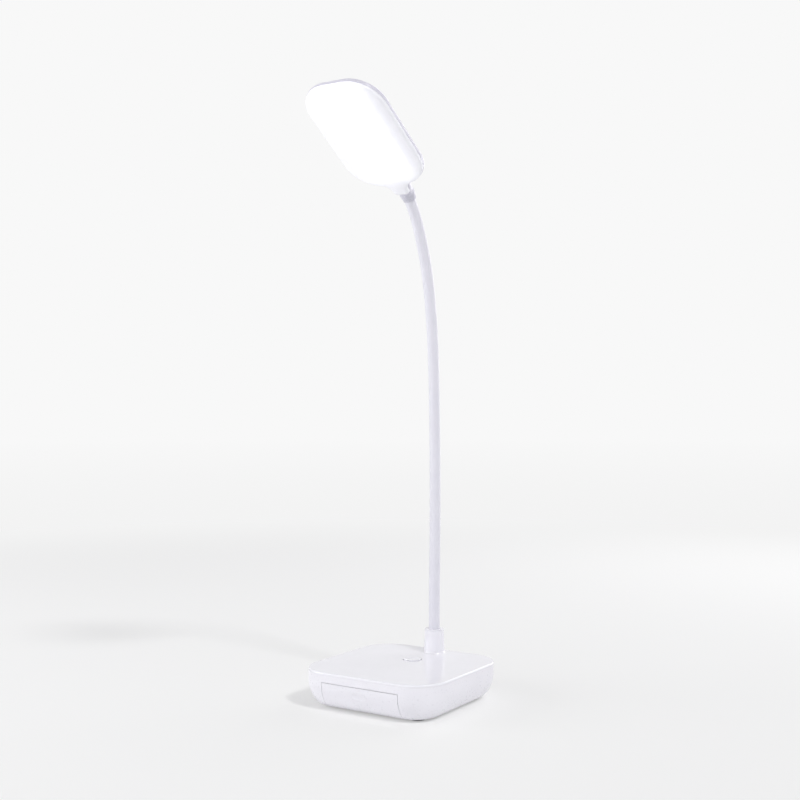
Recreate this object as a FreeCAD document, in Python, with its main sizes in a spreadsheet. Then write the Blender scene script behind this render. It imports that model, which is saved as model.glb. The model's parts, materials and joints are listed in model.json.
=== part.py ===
import FreeCAD, Part
import math
import os
import Sketcher
from FreeCAD import Placement, Rotation, Vector

# Desk lamp with a drawer in its base, in millimetres.
# +Z is up, the drawer opens towards -Y, and the origin is the centre of the base on the desk.
# The base is a square bowl that a flat cover closes. A gooseneck stands at its back edge and
# carries a flat lamp head. The gooseneck is a chain of short links, each with a ball-shaped
# top end in the hollow foot of the next, so that it bends where the real hose bends.

SIZES = {
    # Base outline and heights above the desk
    "base_side": 120.0,
    "base_corner": 27.5,
    "foot_proud": 1.5,
    "bowl_upper_radius": 25.0,
    "bowl_lower_radius": 12.0,
    "bowl_change_angle": 35.0,
    "bowl_end_angle": 75.0,
    "base_wall": 2.2,
    "bowl_ring_depth": 20.0,
    # Top cover
    "cover_thickness": 2.2,
    "cover_edge_round": 1.1,
    "cover_lip_height": 2.4,
    "cover_lip_wall": 1.4,
    "lip_clearance": 0.15,
    # Screws through the base, and their bosses: each stands over a foot, set in from the floor's rim
    "foot_inset": 2.2,
    "housing_boss_radius": 3.6,
    "cover_boss_radius": 3.2,
    "boss_gap": 0.2,
    "housing_boss_top": 13.0,
    "screw_radius": 1.5,
    "thread_gap": 0.05,
    "screw_hole_radius": 1.7,
    "screw_head_radius": 2.7,
    "screw_head_height": 1.8,
    "screw_seat_height": 6.0,
    "screw_length": 13.0,
    "head_clearance": 0.25,
    # Rubber feet
    "foot_radius": 6.0,
    "foot_recess": 0.5,
    "foot_edge_round": 0.6,
    # Drawer
    "drawer_front_reach": 2.4,
    "drawer_top_drop": 7.8,
    "drawer_gap": 0.35,
    "drawer_front_wall": 2.4,
    "drawer_joint_reach": 0.8,
    "tray_back_gap": 2.4,
    "tray_wall": 1.4,
    "tray_floor_gap": 0.25,
    "tray_corner": 3.0,
    "grip_half_width": 8.0,
    "grip_depth": 1.1,
    "grip_height": 4.6,
    "grip_drop": 15.5,
    # Frame round the drawer, an upturned channel that guides the tray
    "bay_wall": 1.4,
    "bay_clearance": 0.4,
    "bay_boss_gap": 1.0,
    "bay_joint_gap": 1.2,
    "bay_cradle_gap": 0.3,
    "bay_screw_gap": 0.3,
    # Ballast plate under the tray
    "ballast_thickness": 2.0,
    "ballast_clearance": 0.6,
    "ballast_corner": 4.0,
    # Rechargeable cell
    "cell_radius": 9.2,
    "cell_length": 65.0,
    "cell_tip_radius": 2.8,
    "cell_tip_length": 0.9,
    "cell_boss_gap": 0.3,
    "cradle_thickness": 2.0,
    "cradle_share": 0.45,
    "cradle_place_share": 0.33,
    "contact_thickness": 0.4,
    "contact_width": 8.0,
    # Control board and push switch
    "board_thickness": 1.2,
    "board_half_width": 24.0,
    "board_front_reach": 18.0,
    "board_back_reach": 12.0,
    "board_drop": 3.4,
    "board_cell_gap": 0.4,
    "board_screw_x": 19.0,
    "board_screw_inset": 5.0,
    "board_boss_radius": 2.4,
    "board_screw_radius": 0.9,
    "board_screw_head_radius": 1.9,
    "board_screw_head_height": 0.9,
    "board_screw_length": 4.0,
    "switch_to_neck": 34.0,
    "tact_side": 4.6,
    "tact_height": 2.0,
    "capacitor_radius": 1.5,
    "plunger_radius": 1.2,
    "plunger_proud": 0.7,
    "plunger_depth": 0.9,
    "plunger_clearance": 0.15,
    "button_radius": 7.1,
    "button_gap": 0.45,
    "button_proud": 0.8,
    "button_wall": 1.3,
    "button_flange": 1.2,
    "button_flange_height": 0.9,
    "button_flange_gap": 0.15,
    "button_dish_radius": 26.0,
    "button_dish_depth": 0.6,
    "button_edge_round": 0.4,
    "button_post_radius": 1.6,
    # Charging socket in the back wall
    "socket_z": 12.0,
    "socket_half_width": 4.5,
    "socket_height": 3.3,
    "socket_depth": 7.4,
    "socket_wall": 0.3,
    "socket_tongue_height": 0.7,
    "socket_tongue_half_width": 3.4,
    "socket_overhang": 1.0,
    "port_half_width": 6.5,
    "port_height": 6.6,
    "port_board_length": 10.0,
    "port_board_gap": 0.35,
    "port_post_radius": 1.8,
    # Leads inside the base
    "lead_radius": 0.6,
    "lead_bend": 1.6,
    "lead_gap": 0.1,
    "lead_inset": 1.0,
    # Collar that holds the gooseneck's foot
    "collar_height": 19.0,
    "collar_foot_radius": 8.5,
    "collar_top_radius": 7.8,
    "collar_flange_radius": 9.1,
    "collar_flange_height": 1.2,
    "collar_flange_fillet": 3.6,
    "collar_lip_height": 1.0,
    "collar_lip_step": 0.35,
    "collar_stem_wall": 1.6,
    "collar_stem_length": 8.0,
    "collar_hole_gap": 0.2,
    "nut_wall": 0.8,
    "nut_lip_gap": 0.25,
    "nut_height": 3.6,
    # Gooseneck
    "sleeve_radius": 4.5,
    "core_radius": 3.0,
    "core_bore_radius": 1.7,
    "core_fit": 0.1,
    "ball_clearance": 0.15,
    "core_top": 2.9,
    "core_foot": 4.8,
    "neck_foot_rise": 40.0,
    "neck_pitch": 39.0,
    "neck_tip": 27.2,
    "neck_sleeve_tip": 20.6,
    "neck_lean": -1.2,
    "neck_bend_2": 1.0,
    "neck_bend_3": 1.0,
    "neck_bend_4": 0.5,
    "neck_bend_5": 2.0,
    "neck_bend_6": 4.0,
    "neck_bend_7": 8.0,
    "neck_bend_8": 13.0,
    "neck_bend_9": 15.0,
    # Ferrule between gooseneck and head
    "ferrule_wall": 0.5,
    "ferrule_ring_step": 0.4,
    "ferrule_ring_height": 2.5,
    "ferrule_groove": 0.35,
    "ferrule_groove_depth": 0.4,
    "ferrule_fit": 0.4,
    # Lamp head: its own frame has +Y to the gooseneck and +Z out of its back
    "head_tilt": 33.5,
    "neck_joint_reach": 13.5,
    "neck_joint_rise": 3.9,
    "head_length": 104.5,
    "head_width": 67.5,
    "head_corner": 25.0,
    "head_wall": 1.6,
    "head_side": 4.2,
    "head_back_round": 2.4,
    "chin_half_width": 7.0,
    "chin_fillet": 8.5,
    "chin_length": 8.6,
    "chin_tip_share": 1.3,
    "cover_bulge": 4.4,
    "cover_round": 3.6,
    "cover_wall": 1.6,
    "cover_seam": 0.1,
    "led_board_inset": 4.5,
    "led_board_thickness": 1.2,
    "led_side": 2.8,
    "led_height": 0.7,
    "led_pitch_x": 11.0,
    "led_pitch_y": 13.0,
    "boss_inset": 0.3,
    "boss_middle_reach": 6.0,
    "boss_middle_half_width": 8.6,
    "boss_middle_half_height": 4.3,
    "boss_root_reach": -9.0,
    "boss_root_half_width": 13.0,
    "boss_root_half_height": 1.5,
    "boss_root_sink": 0.4,
    "boss_corner_step": 0.1,
    "lead_hole_radius": 1.5,
    "head_screw_radius": 1.0,
    "head_screw_head_radius": 1.9,
    "head_screw_head_height": 0.9,
    "head_screw_length": 2.6,
    "head_screw_y": 34.0,
    "sheet_thickness": 0.8,
    # One length that carries every cut past the face it leaves
    "overrun": 1.0,
}
NECK_LINKS = 10
NUT_SIDES = 6

doc = FreeCAD.newDocument("desk_lamp")
sheet = doc.addObject("Spreadsheet::Sheet", "Sizes")
for row, (name, value) in enumerate(SIZES.items(), start=1):
    sheet.set("A%d" % row, name)
    sheet.set("B%d" % row, str(value))
    sheet.setAlias("B%d" % row, name)
doc.recompute()
nodes = []


class Measure:
    """A value in the sheet's terms: the number now, and the formula that gives it."""

    def __init__(self, value, text):
        self.value = value
        self.text = text

    def __float__(self):
        return float(self.value)

    def __add__(self, other):
        other = measure(other)
        return Measure(self.value + other.value, "(%s + %s)" % (self.text, other.text))

    def __radd__(self, other):
        return measure(other) + self

    def __sub__(self, other):
        other = measure(other)
        return Measure(self.value - other.value, "(%s - %s)" % (self.text, other.text))

    def __rsub__(self, other):
        return measure(other) - self

    def __mul__(self, other):
        other = measure(other)
        return Measure(self.value * other.value, "(%s * %s)" % (self.text, other.text))

    def __rmul__(self, other):
        return measure(other) * self

    def __truediv__(self, other):
        other = measure(other)
        return Measure(self.value / other.value, "(%s / %s)" % (self.text, other.text))

    def __neg__(self):
        return Measure(-self.value, "(-%s)" % self.text)


def measure(number):
    """A plain number as a Measure; a Measure stays as it is."""
    if isinstance(number, Measure):
        return number
    return Measure(float(number), repr(number))


def size(name):
    """The named size of the sheet."""
    return Measure(float(sheet.get(name)), "Sizes.%s" % name)


def root(square):
    return Measure(math.sqrt(square.value), "sqrt(%s)" % square.text)


def sine(angle):
    angle = measure(angle)
    return Measure(math.sin(math.radians(angle.value)), "sin(%s)" % angle.text)


def cosine(angle):
    angle = measure(angle)
    return Measure(math.cos(math.radians(angle.value)), "cos(%s)" % angle.text)


def bind(thing, **values):
    """Ties properties of an object to formulas of the sheet."""
    for name, value in values.items():
        thing.setExpression(name, measure(value).text)
    return thing


def place(thing, x=0, y=0, z=0, axis=None, angle=0):
    """Puts an object where the formulas say, turned by angle about axis."""
    if axis is not None:
        thing.Placement = Placement(Vector(), Rotation(axis, float(measure(angle))))
        thing.setExpression("Placement.Rotation.Angle", measure(angle).text)
    for letter, value in (("x", x), ("y", y), ("z", z)):
        thing.setExpression("Placement.Base.%s" % letter, measure(value).text)
    return thing


def finish(thing, label):
    """Names a finished sub-part and puts it on the list that is written out."""
    thing.Label = label
    nodes.append(thing)
    return thing


# Part primitives and booleans


def block(name, x, y, z):
    """A box between two limits on each axis; each limit pair is (low, high)."""
    box = doc.addObject("Part::Box", name)
    bind(box, Length=x[1] - x[0], Width=y[1] - y[0], Height=z[1] - z[0])
    return place(box, x[0], y[0], z[0])


def span(centre, half):
    """The limits of something that reaches half to either side of centre."""
    return (measure(centre) - half, measure(centre) + half)


def disc(name, radius, x, y, z):
    """An upright cylinder at x, y between two heights."""
    rod = doc.addObject("Part::Cylinder", name)
    bind(rod, Radius=radius, Height=z[1] - z[0])
    return place(rod, x, y, z[0])


def join(name, shapes):
    fused = doc.addObject("Part::MultiFuse", name)
    fused.Shapes = shapes
    return fused


def cut(name, base, tool):
    left = doc.addObject("Part::Cut", name)
    left.Base = base
    left.Tool = tool
    return left


def overlap(name, first, second):
    both = doc.addObject("Part::Common", name)
    both.Base = first
    both.Tool = second
    return both


def group(name, shapes):
    """Separate solids of one kind in one node."""
    kept = doc.addObject("Part::Compound", name)
    kept.Links = shapes
    return kept


# Bodies and sketches


def new_body(name):
    return doc.addObject("PartDesign::Body", name)


def new_sketch(body, name, plane, height=0):
    """A sketch on one of its body's own origin planes, lifted by height along the normal."""
    sketch = body.newObject("Sketcher::SketchObject", name)
    role = plane + "_Plane"
    face = [item for item in body.Origin.OriginFeatures if item.Role == role][0]
    sketch.AttachmentSupport = [(face, "")]
    sketch.MapMode = "FlatFace"
    sketch.setExpression("AttachmentOffset.Base.z", measure(height).text)
    return sketch


def tie(sketch, constraint, value):
    index = sketch.addConstraint(constraint)
    sketch.setExpression("Constraints[%d]" % index, measure(value).text)


def pin_point(sketch, edge, end, point):
    """Fixes one end of an edge at a point given in formulas."""
    for direction, axis, value in (("DistanceX", -2, point[0]), ("DistanceY", -1, point[1])):
        number = measure(value)
        if number.text == "0":
            sketch.addConstraint(Sketcher.Constraint("PointOnObject", edge, end, axis))
        else:
            tie(sketch, Sketcher.Constraint(direction, -1, 1, edge, end, number.value), number)


def arc_between(start, end, radius):
    """The arc from start to end, anticlockwise about its centre, of less than half a turn."""
    middle = (start + end) / 2
    half = (end - start) / 2
    rise = math.sqrt(max(radius * radius - half.Length ** 2, 0.0))
    centre = middle + Vector(-half.y, half.x, 0).normalize() * rise
    first = math.atan2(start.y - centre.y, start.x - centre.x)
    last = math.atan2(end.y - centre.y, end.x - centre.x)
    return Part.ArcOfCircle(Part.Circle(centre, Vector(0, 0, 1), radius), first, last)


def draw(sketch, points, arcs=None):
    """A closed outline. arcs maps an edge's number to (radius, turn): turn 1 bulges out
    of an anticlockwise outline and -1 is hollow."""
    arcs = arcs or {}
    flat = [Vector(float(measure(x)), float(measure(y)), 0) for x, y in points]
    ends = []
    for number, start in enumerate(flat):
        end = flat[(number + 1) % len(flat)]
        if number not in arcs:
            edge = sketch.addGeometry(Part.LineSegment(start, end))
            ends.append((edge, 1, 2))
            continue
        radius, turn = arcs[number]
        if turn > 0:
            edge = sketch.addGeometry(arc_between(start, end, float(radius)))
            ends.append((edge, 1, 2))
        else:
            edge = sketch.addGeometry(arc_between(end, start, float(radius)))
            ends.append((edge, 2, 1))
    for number, point in enumerate(points):
        edge, start, _ = ends[number]
        before, _, end = ends[number - 1]
        sketch.addConstraint(Sketcher.Constraint("Coincident", before, end, edge, start))
        pin_point(sketch, edge, start, point)
    for number, (radius, _) in arcs.items():
        edge = ends[number][0]
        tie(sketch, Sketcher.Constraint("Radius", edge, float(radius)), radius)
    return sketch


def circle(sketch, radius, x=0, y=0):
    centre = Vector(float(measure(x)), float(measure(y)), 0)
    edge = sketch.addGeometry(Part.Circle(centre, Vector(0, 0, 1), float(radius)))
    tie(sketch, Sketcher.Constraint("Radius", edge, float(radius)), radius)
    pin_point(sketch, edge, 3, (x, y))
    return sketch


def rounded_rectangle(sketch, half_x, half_y, corner):
    """A rectangle about the origin with round corners; it starts halfway up its right side."""
    flat_x = half_x - corner
    flat_y = half_y - corner
    points = [(half_x, 0), (half_x, flat_y), (flat_x, half_y), (-flat_x, half_y), (-half_x, flat_y),
              (-half_x, -flat_y), (-flat_x, -half_y), (flat_x, -half_y), (half_x, -flat_y)]
    return draw(sketch, points, {number: (corner, 1) for number in (1, 3, 5, 7)})


def pad(body, sketch, length, backwards=False):
    feature = body.newObject("PartDesign::Pad", sketch.Name + "_pad")
    feature.Profile = sketch
    feature.Reversed = backwards
    bind(feature, Length=length)
    return feature


def pocket(body, sketch, length):
    feature = body.newObject("PartDesign::Pocket", sketch.Name + "_pocket")
    feature.Profile = sketch
    bind(feature, Length=length)
    return feature


def revolve(body, sketch):
    """A full turn about the sketch's own vertical axis."""
    feature = body.newObject("PartDesign::Revolution", sketch.Name + "_turn")
    feature.Profile = sketch
    feature.ReferenceAxis = (sketch, ["V_Axis"])
    feature.Angle = 360
    return feature


def round_edges(body, base, edges, radius, name):
    """Rounds the edges of base that the test picks out."""
    doc.recompute()
    picked = ["Edge%d" % (number + 1) for number, edge in enumerate(base.Shape.Edges) if edges(edge)]
    feature = body.newObject("PartDesign::Fillet", name)
    feature.Base = (base, picked)
    bind(feature, Radius=radius)
    return feature


def lies_at(height):
    """True for an edge that lies flat at this height."""
    level = float(measure(height))
    return lambda edge: (abs(edge.BoundBox.ZMin - level) < edge.Tolerance * 10
                         and abs(edge.BoundBox.ZMax - level) < edge.Tolerance * 10)


# Heights and lines of the base that several pieces share

half_side = size("base_side") / 2
bottom = size("foot_proud")
upper_radius = size("bowl_upper_radius")
lower_radius = size("bowl_lower_radius")
change = size("bowl_change_angle")
bowl_end = size("bowl_end_angle")
wall = size("base_wall")
overrun = size("overrun")
upper_centre_z = bottom + (upper_radius - lower_radius) * sine(change) + lower_radius * sine(bowl_end)
floor_top = bottom + wall * sine(bowl_end)

# The cell lies on the floor, the control board over it, and the cover over the board

cell_z = floor_top + size("head_clearance") + size("cell_radius")
board_bottom = cell_z + size("cell_radius") + size("board_cell_gap")
board_top = board_bottom + size("board_thickness")
seam = board_top + size("board_drop")
top = seam + size("cover_thickness")

# How far the bowl's floor reaches, and the screws over the feet

rim_half = half_side - upper_radius + (upper_radius - lower_radius) * cosine(change)
floor_half = rim_half + (lower_radius - wall) * cosine(bowl_end)
underside_half = rim_half + lower_radius * cosine(bowl_end)
flat_half = half_side - size("base_corner")
foot_seat = size("foot_radius") + size("head_clearance")
boss_place = flat_half + (underside_half - flat_half - foot_seat - size("foot_inset")) * cosine(45)


def bowl_solid(name, inset, top_z):
    """The base's round-cornered bowl, set in by inset: its rim section swept round the outline,
    with the middle filled."""
    body = new_body(name)
    path = new_sketch(body, name + "_path", "XY")
    rounded_rectangle(path, half_side, half_side, size("base_corner"))
    inner_x = half_side - size("bowl_ring_depth")
    upper_x = half_side - upper_radius
    lower_x = upper_x + (upper_radius - lower_radius) * cosine(change)
    lower_z = upper_centre_z - (upper_radius - lower_radius) * sine(change)
    foot = (lower_x + (lower_radius - inset) * cosine(bowl_end),
            lower_z - (lower_radius - inset) * sine(bowl_end))
    turn = (upper_x + (upper_radius - inset) * cosine(change),
            upper_centre_z - (upper_radius - inset) * sine(change))
    section = new_sketch(body, name + "_section", "XZ")
    draw(section, [(inner_x, foot[1]), foot, turn, (half_side - inset, upper_centre_z),
                   (half_side - inset, top_z), (inner_x, top_z)],
         {1: (lower_radius - inset, 1), 2: (upper_radius - inset, 1)})
    rim = body.newObject("PartDesign::AdditivePipe", name + "_rim")
    rim.Profile = section
    rim.Spine = (path, [])
    rim.Mode = "Standard"
    core = new_sketch(body, name + "_core", "XY", foot[1])
    rounded_rectangle(core, inner_x + overrun, inner_x + overrun,
                      size("base_corner") - size("bowl_ring_depth") + overrun)
    pad(body, core, top_z - foot[1])
    return body


def corner_places():
    """The four screw and foot places, front right first."""
    return [(boss_place, -boss_place), (boss_place, boss_place), (-boss_place, boss_place),
            (-boss_place, -boss_place)]


# Base housing and cover


def make_base_forms():
    """The outer bowl up to the seam, and the room inside it."""
    outer = bowl_solid("bowl_outer", measure(0), seam)
    inner = bowl_solid("bowl_inner", wall, seam + overrun)
    return outer, inner


bowl_outer, bowl_inner = make_base_forms()
port_z = span(size("socket_z"), size("port_height") / 2)

# The charging socket's board ends just inside the back wall, at the wall's place at that height

port_board_top = size("socket_z") - size("socket_height") / 2
port_board_bottom = port_board_top - size("board_thickness")
wall_radius = upper_radius - wall
wall_drop = upper_centre_z - port_board_bottom
port_board_back = half_side - upper_radius + root(wall_radius * wall_radius - wall_drop * wall_drop) \
    - size("port_board_gap")
port_board_front = port_board_back - size("port_board_length")
socket_mouth = port_board_back + size("socket_overhang")

# The gooseneck's foot stands as far back as its nut fits inside the cover's lip

lip_inset = wall + size("lip_clearance")
stem_radius = size("sleeve_radius") + size("core_fit") + size("collar_stem_wall")
nut_half = stem_radius + size("nut_wall")
nut_corner = nut_half / cosine(180 / NUT_SIDES)
neck_y = half_side - lip_inset - size("cover_lip_wall") - size("nut_lip_gap") - nut_half

# The socket's lead rises beside the nut, so its board reaches out that far

lead_beside = size("lead_radius") + size("lead_gap")
port_lead_x = nut_corner + lead_beside
port_board_half = port_lead_x + size("lead_inset")

# The cell lies in front of the two back bosses, the drawer's bay in front of the cell

cell_y = boss_place - size("housing_boss_radius") - size("cell_boss_gap") - size("cell_radius")
cradle_half = size("cell_radius") + size("cradle_thickness")

# The switch stands on the board

switch_y = neck_y - size("switch_to_neck")
board_front = switch_y - size("board_front_reach")
board_back = switch_y + size("board_back_reach")
board_screw_y = board_front + size("board_screw_inset")
tact_top = board_top + size("tact_height")
plunger_top = tact_top + size("plunger_proud")

# The drawer and its bay fill the room between the bosses, the floor and the board's screws

gap = size("drawer_gap")
drawer_top = top - size("drawer_top_drop")
joint_y = -(floor_half + size("drawer_joint_reach"))
front_limit = -(half_side + overrun)
bay_half = boss_place - size("housing_boss_radius") - size("bay_boss_gap") - size("bay_wall")
bay_top = board_bottom - size("board_screw_head_height") - size("bay_screw_gap") - size("bay_wall")
bay_front = joint_y + size("bay_joint_gap")
bay_back = cell_y - cradle_half - size("bay_cradle_gap")
tray_half = bay_half - size("bay_clearance")
tray_bottom = floor_top + size("ballast_thickness") + size("tray_floor_gap")
tray_height = bay_top - size("bay_clearance") - tray_bottom
tray_length = bay_back - size("tray_back_gap") - joint_y
drawer_half = tray_half + size("drawer_front_reach")


def make_lower_housing():
    """The bowl with its drawer opening, screw bosses, foot recesses, cell cradle and port."""
    half_open = drawer_half + gap
    opening = block("bay_opening", (-half_open, half_open), (front_limit, joint_y + gap),
                    (0, drawer_top + gap))
    back_of_wall = half_side - wall - overrun
    port = block("port_opening", span(0, size("port_half_width")), (back_of_wall - wall, half_side + overrun),
                 port_z)
    shell = cut("housing_shell", bowl_outer, bowl_inner)
    bosses = []
    holes = [opening, port]
    for number, (x, y) in enumerate(corner_places()):
        bosses.append(disc("boss_%d" % number, size("housing_boss_radius"), x, y,
                           (bottom + size("foot_recess"), size("housing_boss_top"))))
        holes.append(disc("foot_seat_%d" % number, foot_seat, x, y,
                          (0, bottom + size("foot_recess"))))
        holes.append(disc("head_seat_%d" % number, size("screw_head_radius") + size("head_clearance"), x, y,
                          (0, size("screw_seat_height"))))
        holes.append(disc("screw_hole_%d" % number, size("screw_hole_radius"), x, y,
                          (0, size("housing_boss_top") + overrun)))
    cradle = []
    rib = size("cradle_thickness")
    rib_top = floor_top + size("cell_radius") * 2 * size("cradle_share")
    rib_reach = size("cell_length") * size("cradle_place_share")
    for number, x in enumerate((-rib_reach, rib_reach)):
        cradle.append(block("cradle_rib_%d" % number, span(x, rib / 2), span(cell_y, cradle_half),
                            (bottom + wall / 2, rib_top)))
    posts = []
    for number, side in enumerate((-1, 1)):
        posts.append(disc("port_post_%d" % number, size("port_post_radius"),
                          side * (port_board_half - size("port_post_radius")),
                          port_board_front + size("port_post_radius"),
                          (bottom + wall / 2, port_board_bottom)))
    cell = doc.addObject("Part::Cylinder", "cell_seat")
    bind(cell, Radius=size("cell_radius") + size("head_clearance"), Height=size("cell_length"))
    place(cell, -size("cell_length") / 2, cell_y, cell_z, Vector(0, 1, 0), 90)
    solid = join("housing_solid", [shell] + bosses + cradle + posts)
    return finish(cut("housing", solid, join("housing_cuts", holes + [cell])), "base_lower_housing")


def make_top_cover():
    """A flat cover with a rounded rim, a locating lip, and bosses for the screws and the board."""
    body = new_body("cover_plate")
    outline = new_sketch(body, "cover_outline", "XY", seam)
    rounded_rectangle(outline, half_side, half_side, size("base_corner"))
    plate = pad(body, outline, size("cover_thickness"))
    round_edges(body, plate, lies_at(top), size("cover_edge_round"), "cover_rim")
    lip = new_sketch(body, "cover_lip", "XY", seam)
    for depth in (lip_inset, lip_inset + size("cover_lip_wall")):
        rounded_rectangle(lip, half_side - depth, half_side - depth, size("base_corner") - depth)
    pad(body, lip, size("cover_lip_height"), backwards=True)
    solids = [body]
    cuts = []
    for number, (x, y) in enumerate(corner_places()):
        solids.append(disc("cover_boss_%d" % number, size("cover_boss_radius"), x, y,
                           (size("housing_boss_top") + size("boss_gap"), seam + overrun)))
        cuts.append(disc("cover_pilot_%d" % number, size("screw_radius"), x, y,
                         (0, size("screw_seat_height") + size("screw_length") + overrun)))
    for number, side in enumerate((-1, 1)):
        x = side * size("board_screw_x")
        solids.append(disc("board_boss_%d" % number, size("board_boss_radius"), x, board_screw_y,
                           (board_top, seam + overrun)))
        cuts.append(disc("board_pilot_%d" % number, size("board_screw_radius"), x, board_screw_y,
                         (board_top - overrun, board_bottom + size("board_screw_length"))))
        solids.append(block("board_rest_%d" % number, span(x, size("board_boss_radius")),
                            (board_back - size("board_boss_radius"), board_back),
                            (board_top, seam + overrun)))
    cuts.append(disc("button_hole", size("button_radius") + size("button_gap"), 0, switch_y,
                     (seam - overrun, top + overrun)))
    cuts.append(disc("collar_hole", stem_radius + size("collar_hole_gap"), 0, neck_y,
                     (seam - size("cover_lip_height") - overrun, top + overrun)))
    solid = join("cover_solid", solids)
    return finish(cut("cover", solid, join("cover_cuts", cuts)), "base_top_cover")


def make_feet():
    """Four round rubber feet, each in a shallow recess over a screw."""
    feet = []
    for number, (x, y) in enumerate(corner_places()):
        body = new_body("foot_%d" % number)
        outline = circle(new_sketch(body, "foot_outline_%d" % number, "XY"), size("foot_radius"))
        base = pad(body, outline, bottom + size("foot_recess"))
        round_edges(body, base, lies_at(0), size("foot_edge_round"), "foot_round_%d" % number)
        feet.append(place(body, x, y, 0))
    return finish(group("feet", feet), "rubber_feet")


def screw(name, radius, head_radius, head_height, length):
    """A pan-head screw standing on its head's seat: the head hangs below the origin."""
    body = new_body(name)
    half = new_sketch(body, name + "_section", "XZ")
    draw(half, [(0, -head_height), (head_radius, -head_height), (head_radius, 0), (radius, 0),
                (radius, length), (0, length)])
    revolve(body, half)
    return body


def make_housing_screws():
    """Four screws from below into the cover's bosses."""
    screws = []
    for number, (x, y) in enumerate(corner_places()):
        body = screw("housing_screw_%d" % number, size("screw_radius") - size("thread_gap"),
                     size("screw_head_radius"), size("screw_head_height"), size("screw_length"))
        screws.append(place(body, x, y, size("screw_seat_height")))
    return finish(group("housing_screw_set", screws), "housing_screws")


# Drawer


def make_drawer_tray():
    """The open tray: a rounded box with an even wall."""
    body = new_body("tray")
    half_length = tray_length / 2
    outline = new_sketch(body, "tray_outline", "XY")
    rounded_rectangle(outline, tray_half, half_length, size("tray_corner"))
    pad(body, outline, tray_height)
    room = new_sketch(body, "tray_room", "XY", tray_height)
    rounded_rectangle(room, tray_half - size("tray_wall"), half_length - size("tray_wall"),
                      size("tray_corner") - size("tray_wall"))
    pocket(body, room, tray_height - size("tray_wall"))
    place(body, 0, joint_y + half_length, tray_bottom)
    return finish(body, "drawer_tray")


def make_drawer_front():
    """The drawer's front: a shell with the bowl's own curve, closed on top, with a finger hollow."""
    slab = block("front_slab", (-drawer_half, drawer_half), (front_limit, joint_y),
                 (bottom + gap / 2, drawer_top))
    solid = overlap("front_solid", bowl_outer, slab)
    hollow = drawer_half - size("drawer_front_wall")
    room = block("front_room", (-hollow, hollow), (front_limit, joint_y + overrun),
                 (bottom - overrun, drawer_top - size("drawer_front_wall")))
    inside = overlap("front_inside", bowl_inner, room)
    grip = doc.addObject("Part::Ellipsoid", "grip")
    bind(grip, Radius1=size("grip_height"), Radius2=size("grip_half_width"), Radius3=size("grip_depth") * 2)
    place(grip, 0, -half_side - size("grip_depth") / 2, top - size("grip_drop"))
    shell = cut("front_shell", solid, inside)
    return finish(cut("front", shell, grip), "drawer_front")


def make_bay_frame():
    """The channel round the tray: two side walls and a ceiling, standing on the floor."""
    outer = bay_half + size("bay_wall")
    body = new_body("bay_frame")
    section = new_sketch(body, "bay_section", "XZ", -bay_back)
    points = [(outer, floor_top), (outer, bay_top + size("bay_wall")), (-outer, bay_top + size("bay_wall")),
              (-outer, floor_top), (-bay_half, floor_top), (-bay_half, bay_top), (bay_half, bay_top),
              (bay_half, floor_top)]
    draw(section, points)
    pad(body, section, bay_back - bay_front)
    return finish(body, "drawer_bay_frame")


def make_ballast():
    """A steel plate on the floor, between the channel's walls."""
    body = new_body("ballast")
    half_x = bay_half - size("ballast_clearance")
    half_y = (bay_back - bay_front) / 2 - size("ballast_clearance")
    outline = new_sketch(body, "ballast_outline", "XY")
    rounded_rectangle(outline, half_x, half_y, size("ballast_corner"))
    pad(body, outline, size("ballast_thickness"))
    place(body, 0, (bay_front + bay_back) / 2, floor_top)
    return finish(body, "ballast_plate")


# Cell, control board and switch


def make_cell():
    """A round cell on its side, with the small raised end of its plus pole."""
    body = new_body("cell")
    half = new_sketch(body, "cell_section", "XZ")
    edge = size("cell_tip_length")
    draw(half, [(0, 0), (size("cell_radius"), 0), (size("cell_radius"), size("cell_length") - edge),
                (size("cell_tip_radius"), size("cell_length") - edge),
                (size("cell_tip_radius"), size("cell_length")), (0, size("cell_length"))])
    revolve(body, half)
    place(body, -size("cell_length") / 2, cell_y, cell_z, Vector(0, 1, 0), 90)
    return finish(body, "battery_cell")


def make_contacts():
    """A spring plate at each end of the cell, standing on the floor."""
    plates = []
    half = size("cell_length") / 2
    for number, side in enumerate((-1, 1)):
        near = side * half
        far = side * (half + size("contact_thickness"))
        limits = (far, near) if side < 0 else (near, far)
        plates.append(block("contact_%d" % number, limits, span(cell_y, size("contact_width") / 2),
                            (floor_top, cell_z + size("cell_radius") / 2)))
    return finish(group("contacts", plates), "battery_contacts")


def make_board():
    """The control board under the cover, held by two screws at its front edge."""
    half = size("board_half_width")
    plate = block("board_plate", (-half, half), (board_front, board_back), (board_bottom, board_top))
    holes = [disc("board_hole_%d" % number, size("board_screw_radius") + size("head_clearance"),
                  side * size("board_screw_x"), board_screw_y, (board_bottom - overrun, board_top + overrun))
             for number, side in enumerate((-1, 1))]
    return finish(cut("board", plate, join("board_holes", holes)), "control_board")


def make_components():
    """Driver chip, charge chip, coil and two capacitors on the board's top."""
    chip = size("tact_side")
    rise = size("tact_height")
    x = size("board_half_width") / 2
    y = board_back - chip
    rod = size("capacitor_radius")
    parts = [
        block("driver_chip", span(-x, chip / 2), span(y, chip / 2), (board_top, board_top + rise / 2)),
        block("charge_chip", span(x, chip / 2), span(y, chip / 2), (board_top, board_top + rise / 2)),
        disc("coil", chip / 2, x, switch_y, (board_top, board_top + rise)),
        disc("capacitor_left", rod, -x, switch_y, (board_top, board_top + rise)),
        disc("capacitor_right", rod, x, board_screw_y + chip, (board_top, board_top + rise)),
    ]
    return finish(group("components", parts), "board_components")


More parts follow.
